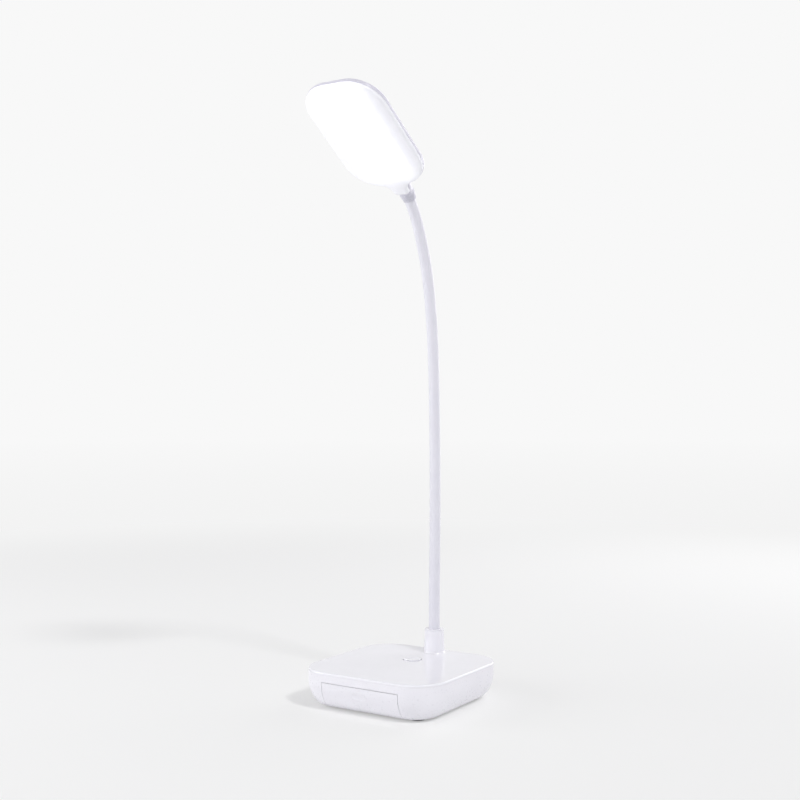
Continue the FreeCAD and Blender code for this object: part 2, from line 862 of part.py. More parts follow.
def make_board_screws():
    screws = []
    for number, side in enumerate((-1, 1)):
        body = screw("board_screw_%d" % number, size("board_screw_radius") - size("thread_gap"),
                     size("board_screw_head_radius"), size("board_screw_head_height"),
                     size("board_screw_length") - size("lip_clearance"))
        screws.append(place(body, side * size("board_screw_x"), board_screw_y, board_bottom))
    return finish(group("board_screw_set", screws), "board_screws")


def make_tact_switch():
    """The push switch under the button, with a well for its plunger."""
    half = size("tact_side") / 2
    case = block("tact_case", span(0, half), span(switch_y, half), (board_top, tact_top))
    well = disc("tact_well", size("plunger_radius") + size("plunger_clearance"), 0, switch_y,
                (tact_top - size("plunger_depth") - size("plunger_proud"), tact_top + overrun))
    return finish(cut("tact", case, well), "tact_switch")


def make_plunger():
    """The switch's own plunger, under the button's post."""
    return finish(disc("plunger", size("plunger_radius"), 0, switch_y,
                       (tact_top - size("plunger_depth"), plunger_top)), "switch_plunger")


def make_button():
    """The push button: a hollow cap with a dished top, a flange under the cover and a middle post."""
    radius = size("button_radius")
    flange = radius + size("button_flange")
    flange_top = seam - size("button_flange_gap")
    flange_foot = flange_top - size("button_flange_height")
    cap_top = top + size("button_proud")
    skin = cap_top - size("button_wall")
    room = radius - size("button_wall")
    post = size("button_post_radius")
    body = new_body("button")
    half = new_sketch(body, "button_section", "XZ")
    draw(half, [(0, plunger_top), (post, plunger_top), (post, skin), (room, skin), (room, flange_foot),
                (flange, flange_foot), (flange, flange_top), (radius, flange_top), (radius, cap_top),
                (0, cap_top)])
    turned = revolve(body, half)
    round_edges(body, turned, lies_at(cap_top), size("button_edge_round"), "button_round")
    place(body, 0, switch_y, 0)
    dish = doc.addObject("Part::Sphere", "button_dish")
    bind(dish, Radius=size("button_dish_radius"))
    place(dish, 0, switch_y, cap_top + size("button_dish_radius") - size("button_dish_depth"))
    return finish(cut("button_cap", body, dish), "switch_button")


# Charging socket


def make_socket():
    """The charging socket: a flat metal shell with its tongue, open at the back."""
    z = size("socket_z")
    half = size("socket_half_width")
    rise = size("socket_height") / 2
    shell = size("socket_wall")
    back = socket_mouth - size("socket_depth")
    body = new_body("socket")
    outline = new_sketch(body, "socket_outline", "XZ", -socket_mouth)
    rounded_rectangle(outline, half, rise, rise - shell)
    pad(body, outline, size("socket_depth"))
    room = new_sketch(body, "socket_room", "XZ", -socket_mouth)
    rounded_rectangle(room, half - shell, rise - shell, rise - shell * 2)
    pocket(body, room, size("socket_depth") - shell * 2)
    place(body, 0, 0, z)
    tongue = block("socket_tongue", span(0, size("socket_tongue_half_width")),
                   (back + shell, socket_mouth - overrun), span(z, size("socket_tongue_height") / 2))
    return finish(join("socket_solid", [body, tongue]), "charging_socket")


def make_port_board():
    """The small board that the socket is soldered to, on two posts of the floor."""
    plate = block("port_plate", (-port_board_half, port_board_half), (port_board_front, port_board_back),
                  (port_board_bottom, port_board_top))
    return finish(plate, "port_board")


# Leads from the cell and the charging socket to the control board

lead_foot = board_top + size("lead_gap")


def lead(name, rise, reach):
    """An insulated lead: it rises from the origin, turns forward, and turns down at its far end."""
    radius = size("lead_radius")
    bend = size("lead_bend")
    up = disc(name + "_up", radius, 0, 0, (0, rise))
    level = doc.addObject("Part::Cylinder", name + "_level")
    bind(level, Radius=radius, Height=reach - bend * 2)
    place(level, 0, -bend, rise + bend, Vector(1, 0, 0), 90)
    turns = []
    for label, y, axis, angle in (("near", -bend, Vector(1, 1, 1), 120),
                                  ("far", bend - reach, Vector(1, 0, 1), 180)):
        turn = doc.addObject("Part::Torus", "%s_%s" % (name, label))
        bind(turn, Radius1=bend, Radius2=radius, Angle3=90)
        turns.append(place(turn, 0, y, rise, axis, angle))
    return join(name, [up, level] + turns)


def make_battery_leads():
    """A lead from the back of each contact, over the cell's end and down onto the board."""
    start_x = size("cell_length") / 2 + size("contact_thickness") + lead_beside
    reach = start_x - size("board_half_width") + lead_beside + size("lead_inset")
    for label, side in (("minus", -1), ("plus", 1)):
        wire = lead("lead_" + label, lead_foot - cell_z, reach)
        place(wire, side * start_x, cell_y, cell_z, Vector(0, 0, 1), -side * 90)
        finish(wire, "battery_lead_" + label)


def make_port_lead():
    """The lead from the socket's board past the nut and forward to the control board."""
    start_y = port_board_front + lead_beside
    start_z = port_board_top + size("lead_gap")
    reach = start_y - board_back + lead_beside + size("lead_inset")
    wire = lead("lead_port", lead_foot - start_z, reach)
    place(wire, -port_lead_x, start_y, start_z)
    return finish(wire, "port_lead")


# Gooseneck foot: collar and nut


def make_collar():
    """The collar round the gooseneck's foot: a flange, a slight cone, a top lip, and a stem
    through the cover."""
    body = new_body("collar")
    half = new_sketch(body, "collar_section", "XZ")
    bore = size("sleeve_radius") + size("core_fit")
    foot = size("collar_foot_radius")
    tip = size("collar_top_radius")
    step = size("collar_lip_step")
    flange_top = size("collar_flange_height")
    lip_foot = size("collar_height") - size("collar_lip_height")
    draw(half, [(bore, -size("collar_stem_length")), (stem_radius, -size("collar_stem_length")),
                (stem_radius, 0), (size("collar_flange_radius"), 0), (foot, flange_top),
                (tip, lip_foot), (tip - step, lip_foot), (tip - step, lip_foot + step),
                (tip, lip_foot + step), (tip, size("collar_height")), (bore, size("collar_height"))],
         {3: (size("collar_flange_fillet"), -1)})
    turned = revolve(body, half)
    round_edges(body, turned, lies_at(size("collar_height")), size("collar_lip_step") / 2, "collar_round")
    place(body, 0, neck_y, top)
    return finish(body, "neck_collar")


def make_nut():
    """The hexagon nut that holds the collar from under the cover."""
    prism = doc.addObject("Part::Prism", "nut_prism")
    prism.Polygon = NUT_SIDES
    bind(prism, Circumradius=nut_corner, Height=size("nut_height"))
    place(prism, 0, neck_y, seam - size("nut_height"))
    bore = disc("nut_bore", stem_radius + size("core_fit") / 2, 0, neck_y,
                (seam - size("nut_height") - overrun, seam + overrun))
    return finish(cut("nut", prism, bore), "collar_nut")


# Gooseneck


class Link:
    """One stretch of the gooseneck: where it starts, which way it leans, and how far it bends."""

    def __init__(self, number, y, z, tilt, chord, bend):
        self.number = number
        self.y = y
        self.z = z
        self.tilt = tilt
        self.chord = chord
        self.bend = bend

    def end(self):
        """The next hinge: the end of the chord, which leans half the bend more."""
        lean = self.tilt + self.bend / 2
        return self.y - self.chord * sine(lean), self.z + self.chord * cosine(lean)


def make_links():
    """The chain of links, from the base cover to the head."""
    links = []
    y = neck_y
    z = top
    tilt = measure(0)
    for number in range(NECK_LINKS):
        chord = size("neck_pitch")
        if number == 0:
            chord = size("neck_foot_rise")
        if number == NECK_LINKS - 1:
            chord = size("neck_tip")
        bend = size("neck_bend_%d" % number) if number > 1 else measure(0)
        link = Link(number, y, z, tilt, chord, bend)
        links.append(link)
        y, z = link.end()
        tilt = tilt + bend
        if number == 0:
            tilt = tilt + size("neck_lean")
    return links


def bent_rod(name, radius, chord, bend):
    """A round rod from the origin up, over a chord of this length, bending forward by bend."""
    if bend.value == 0:
        rod = doc.addObject("Part::Cylinder", name)
        bind(rod, Radius=radius, Height=chord)
        return rod
    ring = chord / 2 / sine(bend / 2)
    rod = doc.addObject("Part::Torus", name)
    bind(rod, Radius1=ring, Radius2=radius, Angle3=bend)
    return place(rod, 0, -ring, 0, Vector(1, 1, 1), 120)


def ball(name, radius, y=0, z=0):
    sphere = doc.addObject("Part::Sphere", name)
    bind(sphere, Radius=radius)
    return place(sphere, 0, y, z)


def stub(name, link, radius, length):
    """A straight rod from a link's far end onward, along the line it ends on."""
    rod = doc.addObject("Part::Cylinder", name)
    bind(rod, Radius=radius, Height=length)
    lean = link.bend / 2
    return place(rod, 0, -link.chord * sine(lean), link.chord * cosine(lean), Vector(1, 0, 0), link.bend)


def far_end(link):
    """A link's far end in its own frame."""
    lean = link.bend / 2
    return -link.chord * sine(lean), link.chord * cosine(lean)


def stand(thing, link):
    """Puts a piece built about a link's start where that link stands."""
    return place(thing, 0, link.y, link.z, Vector(1, 0, 0), link.tilt)


def make_sleeve(link):
    """The soft outer sleeve of one link: hollow, with a ball end on top and a hollow foot."""
    name = "sleeve_%d" % link.number
    radius = size("sleeve_radius")
    bore = size("core_radius") + size("core_fit")
    last = link.number == NECK_LINKS - 1
    chord = size("neck_sleeve_tip") if last else link.chord
    bend = link.bend * size("neck_sleeve_tip") / size("neck_tip") if last else link.bend
    solids = [bent_rod(name + "_rod", radius, chord, bend)]
    cuts = [bent_rod(name + "_bore", bore, chord, bend)]
    if not last:
        y, z = far_end(link)
        solids.append(ball(name + "_ball", radius, y, z))
        cuts.append(stub(name + "_mouth", link, bore, radius + overrun))
    if link.number > 0:
        cuts.append(ball(name + "_foot", radius + size("ball_clearance")))
    else:
        foot = disc(name + "_stem", radius, 0, 0, (-size("collar_stem_length"), overrun))
        solids.append(foot)
        cuts.append(disc(name + "_stem_bore", bore, 0, 0, (-size("collar_stem_length") - overrun, overrun)))
    solid = join(name + "_solid", solids) if len(solids) > 1 else solids[0]
    tool = join(name + "_cuts", cuts) if len(cuts) > 1 else cuts[0]
    return finish(stand(cut(name, solid, tool), link), "neck_sleeve_%d" % link.number)


def make_core(link):
    """The steel hose inside one link, clear of the hinge at each end."""
    name = "core_%d" % link.number
    radius = size("core_radius")
    bore = size("core_bore_radius")
    last = link.number == NECK_LINKS - 1
    solids = [bent_rod(name + "_rod", radius, link.chord, link.bend)]
    cuts = [bent_rod(name + "_bore", bore, link.chord, link.bend)]
    if not last:
        solids.append(stub(name + "_end", link, radius, size("core_top")))
        cuts.append(stub(name + "_mouth", link, bore, size("core_top") + overrun))
    if link.number > 0:
        cuts.append(ball(name + "_foot", size("core_foot")))
    else:
        solids.append(disc(name + "_stem", radius, 0, 0, (-size("collar_stem_length"), overrun)))
        cuts.append(disc(name + "_stem_bore", bore, 0, 0, (-size("collar_stem_length") - overrun, overrun)))
    solid = join(name + "_solid", solids) if len(solids) > 1 else solids[0]
    tool = join(name + "_cuts", cuts) if len(cuts) > 1 else cuts[0]
    return finish(stand(cut(name, solid, tool), link), "neck_core_%d" % link.number)


FERRULE_RINGS = 3
ferrule_foot_radius = size("sleeve_radius") + size("ferrule_fit") + size("ferrule_wall")


def make_ferrule(link):
    """The stepped cup between gooseneck and head: three rings that widen upwards, with a
    groove under each."""
    step = size("ferrule_ring_step")
    rise = size("ferrule_ring_height")
    groove = size("ferrule_groove")
    length = FERRULE_RINGS * rise
    sleeve_bore = size("sleeve_radius") + size("ferrule_fit")
    core_bore = size("core_radius") + size("ferrule_fit")
    shoulder = size("neck_sleeve_tip") - size("neck_tip") + size("ferrule_fit")
    points = [(sleeve_bore, -length)]
    for ring in range(FERRULE_RINGS):
        radius = ferrule_foot_radius + ring * step
        foot = ring * rise - length
        points += [(radius, foot), (radius, foot + rise - groove)]
        if ring < FERRULE_RINGS - 1:
            notch = radius - size("ferrule_groove_depth")
            points += [(notch, foot + rise - groove), (notch, foot + rise)]
    radius = ferrule_foot_radius + (FERRULE_RINGS - 1) * step
    points += [(radius - size("ferrule_groove"), 0), (core_bore, 0), (core_bore, shoulder),
               (sleeve_bore, shoulder)]
    body = new_body("ferrule")
    half = draw(new_sketch(body, "ferrule_section", "XZ"), points)
    revolve(body, half)
    y, z = link.end()
    place(body, 0, y, z, Vector(1, 0, 0), link.tilt + link.bend)
    return finish(body, "neck_ferrule")


# Lamp head

links = make_links()
neck_end_y, neck_end_z = links[-1].end()
neck_end_tilt = links[-1].tilt + links[-1].bend
head_tilt = size("head_tilt")
head_half_length = size("head_length") / 2
head_half_width = size("head_width") / 2
joint_reach = head_half_length + size("neck_joint_reach")
joint_rise = size("neck_joint_rise")
head_y = neck_end_y - joint_reach * cosine(head_tilt) - joint_rise * sine(head_tilt)
head_z = neck_end_z + joint_reach * sine(head_tilt) - joint_rise * cosine(head_tilt)
shell_room = size("head_side") - size("head_wall")


def tip_head(thing):
    """Puts a piece built in the head's own frame where the head is."""
    return place(thing, 0, head_y, head_z, Vector(1, 0, 0), -head_tilt)


def head_plate(sketch, inset):
    """The head's outline without its chin, set in by inset."""
    return rounded_rectangle(sketch, head_half_width - inset, head_half_length - inset,
                             size("head_corner") - inset)


def head_outline(sketch, inset):
    """The head's outline: a round-cornered plate that narrows in two hollow arcs to its chin."""
    corner = size("head_corner") - inset
    fillet = size("chin_fillet") + inset
    half_w = head_half_width - inset
    half_l = head_half_length - inset
    chin = size("chin_half_width") - inset
    flat_x = half_w - corner
    flat_y = half_l - corner
    away = chin + fillet - flat_x
    reach = corner + fillet
    hollow_y = flat_y + root(reach * reach - away * away)
    touch_x = flat_x + away * corner / reach
    touch_y = flat_y + (hollow_y - flat_y) * corner / reach
    tip_y = half_l + size("chin_length")
    points = [(half_w, 0), (half_w, flat_y), (touch_x, touch_y), (chin, hollow_y), (chin, tip_y),
              (-chin, tip_y), (-chin, hollow_y), (-touch_x, touch_y), (-half_w, flat_y),
              (-half_w, -flat_y), (-flat_x, -half_l), (flat_x, -half_l), (half_w, -flat_y)]
    tip_radius = (chin + size("boss_corner_step")) * size("chin_tip_share")
    arcs = {1: (corner, 1), 2: (fillet, -1), 4: (tip_radius, 1), 6: (fillet, -1), 7: (corner, 1),
            9: (corner, 1), 11: (corner, 1)}
    return draw(sketch, points, arcs)


def make_boss(name):
    """The fairing that grows out of the head's back and meets the ferrule."""
    body = new_body(name)
    step = size("boss_corner_step")
    start = ferrule_foot_radius + (FERRULE_RINGS - 1) * size("ferrule_ring_step") - size("boss_inset")
    middle_y = head_half_length + size("boss_middle_reach")
    root_y = head_half_length + size("boss_root_reach")
    middle_rise = size("boss_middle_half_height") - size("head_wall")
    root_rise = size("head_side") - size("boss_root_half_height") - size("boss_root_sink")
    sections = []
    for label, half_x, half_y, along, rise, turn in (
            ("rim", start, start, joint_reach, joint_rise, 90 - head_tilt - neck_end_tilt),
            ("middle", size("boss_middle_half_width"), size("boss_middle_half_height"), middle_y, middle_rise,
             measure(0)),
            ("root", size("boss_root_half_width"), size("boss_root_half_height"), root_y, root_rise,
             measure(0))):
        sketch = new_sketch(body, "%s_%s" % (name, label), "XZ", -along)
        sketch.AttachmentOffset = Placement(Vector(), Rotation(Vector(1, 0, 0), 1))
        sketch.setExpression("AttachmentOffset.Base.y", rise.text)
        sketch.setExpression("AttachmentOffset.Rotation.Angle", (-turn).text)
        rounded_rectangle(sketch, half_x, half_y, half_y - step)
        sections.append(sketch)
    loft = body.newObject("PartDesign::AdditiveLoft", name + "_loft")
    loft.Profile = sections[0]
    loft.Sections = sections[1:]
    return body


def make_rear_shell():
    """The head's back: a shallow tray with a rounded back edge, and the fairing to the neck."""
    body = new_body("shell")
    outline = head_outline(new_sketch(body, "shell_outline", "XY"), measure(0))
    plate = pad(body, outline, size("head_side"))
    round_edges(body, plate, lies_at(size("head_side")), size("head_back_round"), "shell_round")
    room = new_body("shell_room")
    pad(room, head_plate(new_sketch(room, "shell_room_outline", "XY", -overrun), size("head_wall")),
        shell_room + overrun)
    hole = doc.addObject("Part::Cylinder", "lead_hole")
    bind(hole, Radius=size("lead_hole_radius"),
         Height=size("neck_joint_reach") + size("head_wall") + ferrule_foot_radius)
    place(hole, 0, head_half_length - size("head_wall") - overrun, shell_room, Vector(1, 0, 0), -90)
    pilots = []
    for number, side in enumerate((-1, 1)):
        y = side * size("head_screw_y")
        pilots.append(disc("head_pilot_%d" % number, size("head_screw_radius"), 0, y,
                           (0, shell_room - size("led_board_thickness") + size("head_screw_length"))))
    solid = join("shell_solid", [body, make_boss("boss")])
    shell = cut("rear_shell", solid, join("shell_cuts", [room, hole] + pilots))
    return finish(tip_head(shell), "head_rear_shell")


def make_cover():
    """The opal front cover: a hollow cushion shape whose chin wraps the fairing."""
    body = new_body("diffuser")
    outline = head_outline(new_sketch(body, "diffuser_outline", "XY"), size("cover_seam"))
    plate = pad(body, outline, size("cover_bulge"), backwards=True)
    round_edges(body, plate, lies_at(-size("cover_bulge")), size("cover_round"), "diffuser_round")
    room = head_plate(new_sketch(body, "diffuser_room", "XY"), size("head_wall") + size("cover_seam"))
    pocket(body, room, size("cover_bulge") - size("cover_wall"))
    cover = cut("diffuser_cover", body, make_boss("boss_room"))
    return finish(tip_head(cover), "diffuser_cover")


def make_led_board():
    """The aluminium board that carries the LEDs, against the inside of the shell's back."""
    body = new_body("led_plate")
    outline = head_plate(new_sketch(body, "led_outline", "XY", shell_room - size("led_board_thickness")),
                         size("led_board_inset"))
    pad(body, outline, size("led_board_thickness"))
    holes = [disc("led_board_hole_%d" % number, size("head_screw_radius") + size("head_clearance"), 0,
                  side * size("head_screw_y"), (0, shell_room + overrun))
             for number, side in enumerate((-1, 1))]
    board = cut("led_board", body, join("led_board_holes", holes))
    return finish(tip_head(board), "led_board")


LED_COLUMNS = 4
LED_ROWS = 6


def make_leds():
    """A grid of LED packages on the board's front."""
    chips = []
    under = shell_room - size("led_board_thickness")
    half = size("led_side") / 2
    for column in range(LED_COLUMNS):
        for row in range(LED_ROWS):
            x = (column - (LED_COLUMNS - 1) / 2) * size("led_pitch_x")
            y = (row - (LED_ROWS - 1) / 2) * size("led_pitch_y")
            chips.append(block("led_%d_%d" % (column, row), span(x, half), span(y, half),
                               (under - size("led_height"), under)))
    return finish(tip_head(group("leds", chips)), "led_chips")


def make_light_sheet():
    """The thin diffusing sheet that lies inside the opal cover."""
    body = new_body("light_sheet")
    deep = size("cover_bulge") - size("cover_wall")
    outline = head_plate(new_sketch(body, "sheet_outline", "XY", -deep),
                         size("head_wall") + size("cover_seam") + size("head_clearance"))
    pad(body, outline, size("sheet_thickness"))
    return finish(tip_head(body), "diffusing_sheet")


def make_head_screws():
    screws = []
    under = shell_room - size("led_board_thickness")
    for number, side in enumerate((-1, 1)):
        body = screw("head_screw_%d" % number, size("head_screw_radius") - size("thread_gap"),
                     size("head_screw_head_radius"), size("head_screw_head_height"),
                     size("head_screw_length") - size("lip_clearance"))
        screws.append(place(body, 0, side * size("head_screw_y"), under))
    return finish(tip_head(group("head_screw_set", screws)), "head_screws")


def make_lamp():
    """Every sub-part, from the feet up."""
    make_lower_housing()
    make_top_cover()
    make_feet()
    make_housing_screws()
    make_drawer_tray()
    make_drawer_front()
    make_bay_frame()
    make_ballast()
    make_cell()
    make_contacts()
    make_board()
    make_components()
    make_board_screws()
    make_tact_switch()
    make_plunger()
    make_button()
    make_socket()
    make_port_board()
    make_battery_leads()
    make_port_lead()
    make_collar()
    make_nut()
    for link in links:
        make_sleeve(link)
        make_core(link)
    make_ferrule(links[-1])
    make_rear_shell()
    make_cover()
    make_led_board()
    make_leds()
    make_light_sheet()
    make_head_screws()


def check_and_write():
    """Every object must have been made without a failure before any piece is written."""
    doc.recompute()
    for thing in doc.Objects:
        if "Invalid" in thing.State or "Error" in thing.State:
            raise RuntimeError("%s failed: %s" % (thing.Name, thing.State))
    os.makedirs("parts", exist_ok=True)
    for thing in nodes:
        shape = thing.Shape
        if shape.isNull() or not shape.isValid():
            raise RuntimeError("%s has no valid shape" % thing.Label)
    for thing in nodes:
        thing.Shape.exportStep(os.path.join("parts", thing.Label + ".step"))
        print("%-20s solids %2d  volume %9.1f" % (thing.Label, len(thing.Shape.Solids), thing.Shape.Volume))


make_lamp()
check_and_write()
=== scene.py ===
# %% [markdown]
# A rechargeable desk lamp with a drawer in its base.
#
# The lamp is a square bowl-shaped base with a flat glossy cover, a gooseneck in a silicone sleeve, and
# a flat head behind an opal front cover. Its construction is a fixed frame of nodes, one for each
# physical piece, already at its real size in metres. This script gives each piece its finish, and
# models the pieces that have to look softer or bend: the sleeve and the opal cover.
#
# Loading the frame comes first, because every other step measures itself on it.

import json
import math

import bmesh
import bpy
from mathutils import Matrix, Vector, geometry, kdtree


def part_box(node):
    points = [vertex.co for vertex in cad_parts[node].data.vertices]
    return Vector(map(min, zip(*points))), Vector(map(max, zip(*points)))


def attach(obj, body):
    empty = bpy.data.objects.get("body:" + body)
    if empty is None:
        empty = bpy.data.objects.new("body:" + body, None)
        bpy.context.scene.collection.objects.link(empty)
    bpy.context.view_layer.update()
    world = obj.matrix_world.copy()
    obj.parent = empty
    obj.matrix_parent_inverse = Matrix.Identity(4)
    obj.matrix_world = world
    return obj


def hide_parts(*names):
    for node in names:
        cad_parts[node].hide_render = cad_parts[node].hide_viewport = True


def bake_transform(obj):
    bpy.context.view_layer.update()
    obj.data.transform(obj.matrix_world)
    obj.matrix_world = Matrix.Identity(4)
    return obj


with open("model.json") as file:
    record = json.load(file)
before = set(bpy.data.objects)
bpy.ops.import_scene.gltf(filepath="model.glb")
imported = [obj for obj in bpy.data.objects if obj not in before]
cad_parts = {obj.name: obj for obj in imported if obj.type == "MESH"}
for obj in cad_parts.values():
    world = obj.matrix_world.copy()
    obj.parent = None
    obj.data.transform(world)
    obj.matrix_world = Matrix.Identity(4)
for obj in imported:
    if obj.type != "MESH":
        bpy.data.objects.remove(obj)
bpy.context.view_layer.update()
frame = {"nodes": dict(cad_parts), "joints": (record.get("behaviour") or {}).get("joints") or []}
MM = 0.001

# %% [markdown]
# The camera stands a little above the base's height and looks level, so that the gooseneck stays
# upright in the picture and nothing converges. Its lens is written as a real focal length on a 36 mm
# wide sensor.

# %% Camera
SENSOR_WIDTH = 36.0
FOCAL_LENGTH = 52.47
CAMERA_PLACE = Vector((0.4912, -0.7696, 0.2353))
CAMERA_TURN = math.radians(32.65)
LEVEL = math.radians(90)

lens = bpy.data.cameras.new("lens")
lens.sensor_width = SENSOR_WIDTH
lens.lens = FOCAL_LENGTH
camera = bpy.data.objects.new("camera", lens)
camera.location = CAMERA_PLACE
camera.rotation_euler = (LEVEL, 0, CAMERA_TURN)
bpy.context.scene.collection.objects.link(camera)
bpy.context.scene.camera = camera
bpy.context.scene.view_settings.view_transform = "Standard"
print("camera stands %.0f mm above the desk" % (CAMERA_PLACE.z / MM))

# %% [markdown]
# Colours are written as they look on a screen, as hex values. The shaders work with linear light, so
# one function turns the one into the other. A second small function adds a node: it sets the node's
# own choices and fills its sockets, each with a value or with another node's output.

# %% Colour and node helpers
SRGB_KNEE = 0.04045


def linear(hex_colour):
    """An sRGB hex colour as linear red, green, blue and a full alpha."""
    channels = [int(hex_colour[start:start + 2], 16) / 255 for start in (0, 2, 4)]
    light = [c / 12.92 if c <= SRGB_KNEE else ((c + 0.055) / 1.055) ** 2.4 for c in channels]
    return (*light, 1.0)


def add(tree, kind, inputs=None, **choices):
    """Adds a node. choices are its properties; inputs maps sockets to values or outputs."""
    node = tree.nodes.new(kind)
    for name, value in choices.items():
        setattr(node, name, value)
    for name, value in (inputs or {}).items():
        if isinstance(value, bpy.types.NodeSocket):
            tree.links.new(value, node.inputs[name])
        else:
            node.inputs[name].default_value = value
    return node


def eased(tree, value, reach, ends):
    """Leads a value that passes through reach smoothly from the first of ends to the second."""
    return add(tree, "ShaderNodeMapRange", {"Value": value, "From Min": reach[0], "From Max": reach[1],
                                            "To Min": ends[0], "To Max": ends[1]},
               interpolation_type="SMOOTHSTEP").outputs["Result"]


def per_metre(size_mm):
    """The texture scale that repeats a pattern every size_mm on Object coordinates."""
    return 1.0 / (size_mm * MM)


print("white as light:", [round(c, 3) for c in linear("FFFFFF")])

# %% [markdown]
# The studio is a pale floor that runs on into a pale background with no horizon. Near the lamp the
# floor is for the larger part an ordinary matt surface, so that it keeps the soft shadows. The rest is
# the background's own tone, and right under the lamp there is more of it: painted light that makes the
# contact shadow faint. Further out that tone takes over for everything that looks at it directly,
# by eye or in a reflection.

# %% Floor
FLOOR_HALF = 12.0
FLOOR_TONE = "F8F8F7"
HORIZON_TONE = "F8F8F8"
# Distances from the lamp's axis are in metres, and shares say how much of the floor is the bare tone.
# Close to the lamp's axis the share rises: painted light that lightens the contact shadow under the base.
PAINTED_LIGHT_REACH = (0.1, 0.3)
FADE_REACH = (0.6, 1.4)
PAINTED_LIGHT_SHARE = 0.4
NEAR_SHARE = 0.3
FAR_END = 6.0
GLOW_TONES = ((0.0, "EEEEEE"), (0.1, "F1F1F1"), (0.23, "F3F3F3"), (0.6, "F6F6F6"))


def seen_directly(tree):
    """1 where a camera, glossy or transmission ray looks, and 0 for the rays that carry light."""
    path = add(tree, "ShaderNodeLightPath")
    either = add(tree, "ShaderNodeMath", {0: path.outputs["Is Camera Ray"], 1: path.outputs["Is Glossy Ray"]},
                 operation="MAXIMUM")
    return add(tree, "ShaderNodeMath", {0: either.outputs[0], 1: path.outputs["Is Transmission Ray"]},
               operation="MAXIMUM").outputs[0]


def floor_material():
    """Matt paper that turns into the background's tone away from the lamp, with painted light right under it.
    """
    made = bpy.data.materials.new("matt_paper_floor")
    made.use_nodes = True
    tree = made.node_tree
    tree.nodes.clear()
    place = add(tree, "ShaderNodeTexCoord").outputs["Object"]
    distance = add(tree, "ShaderNodeVectorMath", {0: place}, operation="LENGTH").outputs["Value"]
    far = eased(tree, distance, FADE_REACH, (NEAR_SHARE, 1.0))
    # Painted light: more of the bare tone close to the lamp's axis, which lightens the contact shadow.
    painted_light_at_foot = eased(tree, distance, PAINTED_LIGHT_REACH, (PAINTED_LIGHT_SHARE, NEAR_SHARE))
    fade = add(tree, "ShaderNodeMath", {0: far, 1: painted_light_at_foot}, operation="MAXIMUM").outputs[0]
    out = add(tree, "ShaderNodeMapRange", {"Value": distance, "From Max": FAR_END}).outputs["Result"]
    tones = add(tree, "ShaderNodeValToRGB", {0: out})
    tones.color_ramp.elements[1].color = linear(HORIZON_TONE)
    tones.color_ramp.elements[0].color = linear(GLOW_TONES[0][1])
    for position, tone in GLOW_TONES[1:]:
        tones.color_ramp.elements.new(position).color = linear(tone)
    share = add(tree, "ShaderNodeMath", {0: fade, 1: seen_directly(tree)}, operation="MULTIPLY").outputs[0]
    paper = add(tree, "ShaderNodeBsdfDiffuse", {"Color": linear(FLOOR_TONE)})
    glow = add(tree, "ShaderNodeEmission", {"Color": tones.outputs["Color"]})
    mixed = add(tree, "ShaderNodeMixShader", {0: share, 1: paper.outputs[0], 2: glow.outputs[0]})
    add(tree, "ShaderNodeOutputMaterial", {"Surface": mixed.outputs[0]})
    return made


def object_from(bm, name):
    """Turns a finished bmesh into an object at the origin."""
    mesh = bpy.data.meshes.new(name)
    bm.to_mesh(mesh)
    bm.free()
    made = bpy.data.objects.new(name, mesh)
    bpy.context.scene.collection.objects.link(made)
    return made


bm = bmesh.new()
bmesh.ops.create_grid(bm, x_segments=1, y_segments=1, size=FLOOR_HALF)
floor = object_from(bm, "floor")
floor.data.materials.append(floor_material())
print("floor: %.0f m wide" % (2 * FLOOR_HALF))

# %% [markdown]
# The background above the floor is the world. For the eye and for reflections it is a plain pale tone,
# a little lighter towards the top. For the light that falls on the lamp it is a dim dome, so that the
# shaded sides don't go dark.

# %% World
DOME_STRENGTH = 0.345
DOME_TONE = "F4F4F9"
TOP_TONE = "F8F8F8"
TONE_RISE = 0.35

world = bpy.data.worlds.new("studio")
world.use_nodes = True
world_tree = world.node_tree
world_tree.nodes.clear()
sky_direction = add(world_tree, "ShaderNodeTexCoord").outputs["Generated"]
sky_height = add(world_tree, "ShaderNodeSeparateXYZ", {0: sky_direction}).outputs["Z"]
sky_ramp = add(world_tree, "ShaderNodeValToRGB", {0: sky_height})
sky_ramp.color_ramp.elements[0].color = linear(HORIZON_TONE)
sky_ramp.color_ramp.elements[1].color = linear(TOP_TONE)
sky_ramp.color_ramp.elements[1].position = TONE_RISE
backdrop = add(world_tree, "ShaderNodeBackground", {"Color": sky_ramp.outputs["Color"]})
dome = add(world_tree, "ShaderNodeBackground", {"Color": linear(DOME_TONE), "Strength": DOME_STRENGTH})
seen = add(world_tree, "ShaderNodeMixShader",
           {0: seen_directly(world_tree), 1: dome.outputs[0], 2: backdrop.outputs[0]})
add(world_tree, "ShaderNodeOutputWorld", {"Surface": seen.outputs[0]})
bpy.context.scene.world = world
print("dome strength", DOME_STRENGTH)

# %% [markdown]
# Seven soft boxes in a ring and one small key lamp make the shading. The key stands high on the right
# and throws the faint shadow of the head and the neck to the left. The boxes on the left give the
# bright left edges, those behind on the right the pale right edge, and little comes from the front, so
# that the side towards the camera stays the darkest.

# %% Lamps
KEY_DIRECTION = Vector((0.68, -0.19, 0.73))
KEY_SOFTNESS = math.radians(9)
KEY_STRENGTH = 1.1
LAMP_AIM = Vector((0, 0, 0.15))
BOX_SIDE = 1.0
BOX_DISTANCE = 1.6
# Each box: its name, its turn from the camera and its height in degrees, and its power in watts.
BOXES = (("front_box", 0, 12, 1.4),
         ("front_left_box", 315, 12, 5.2),
         ("left_box", 270, 12, 9.9),
         ("right_box", 90, 12, 0.9),
         ("back_right_box", 135, 12, 5.5),
         ("high_front_box", 45, 45, 2.2),
         ("high_back_box", 135, 45, 4.3))


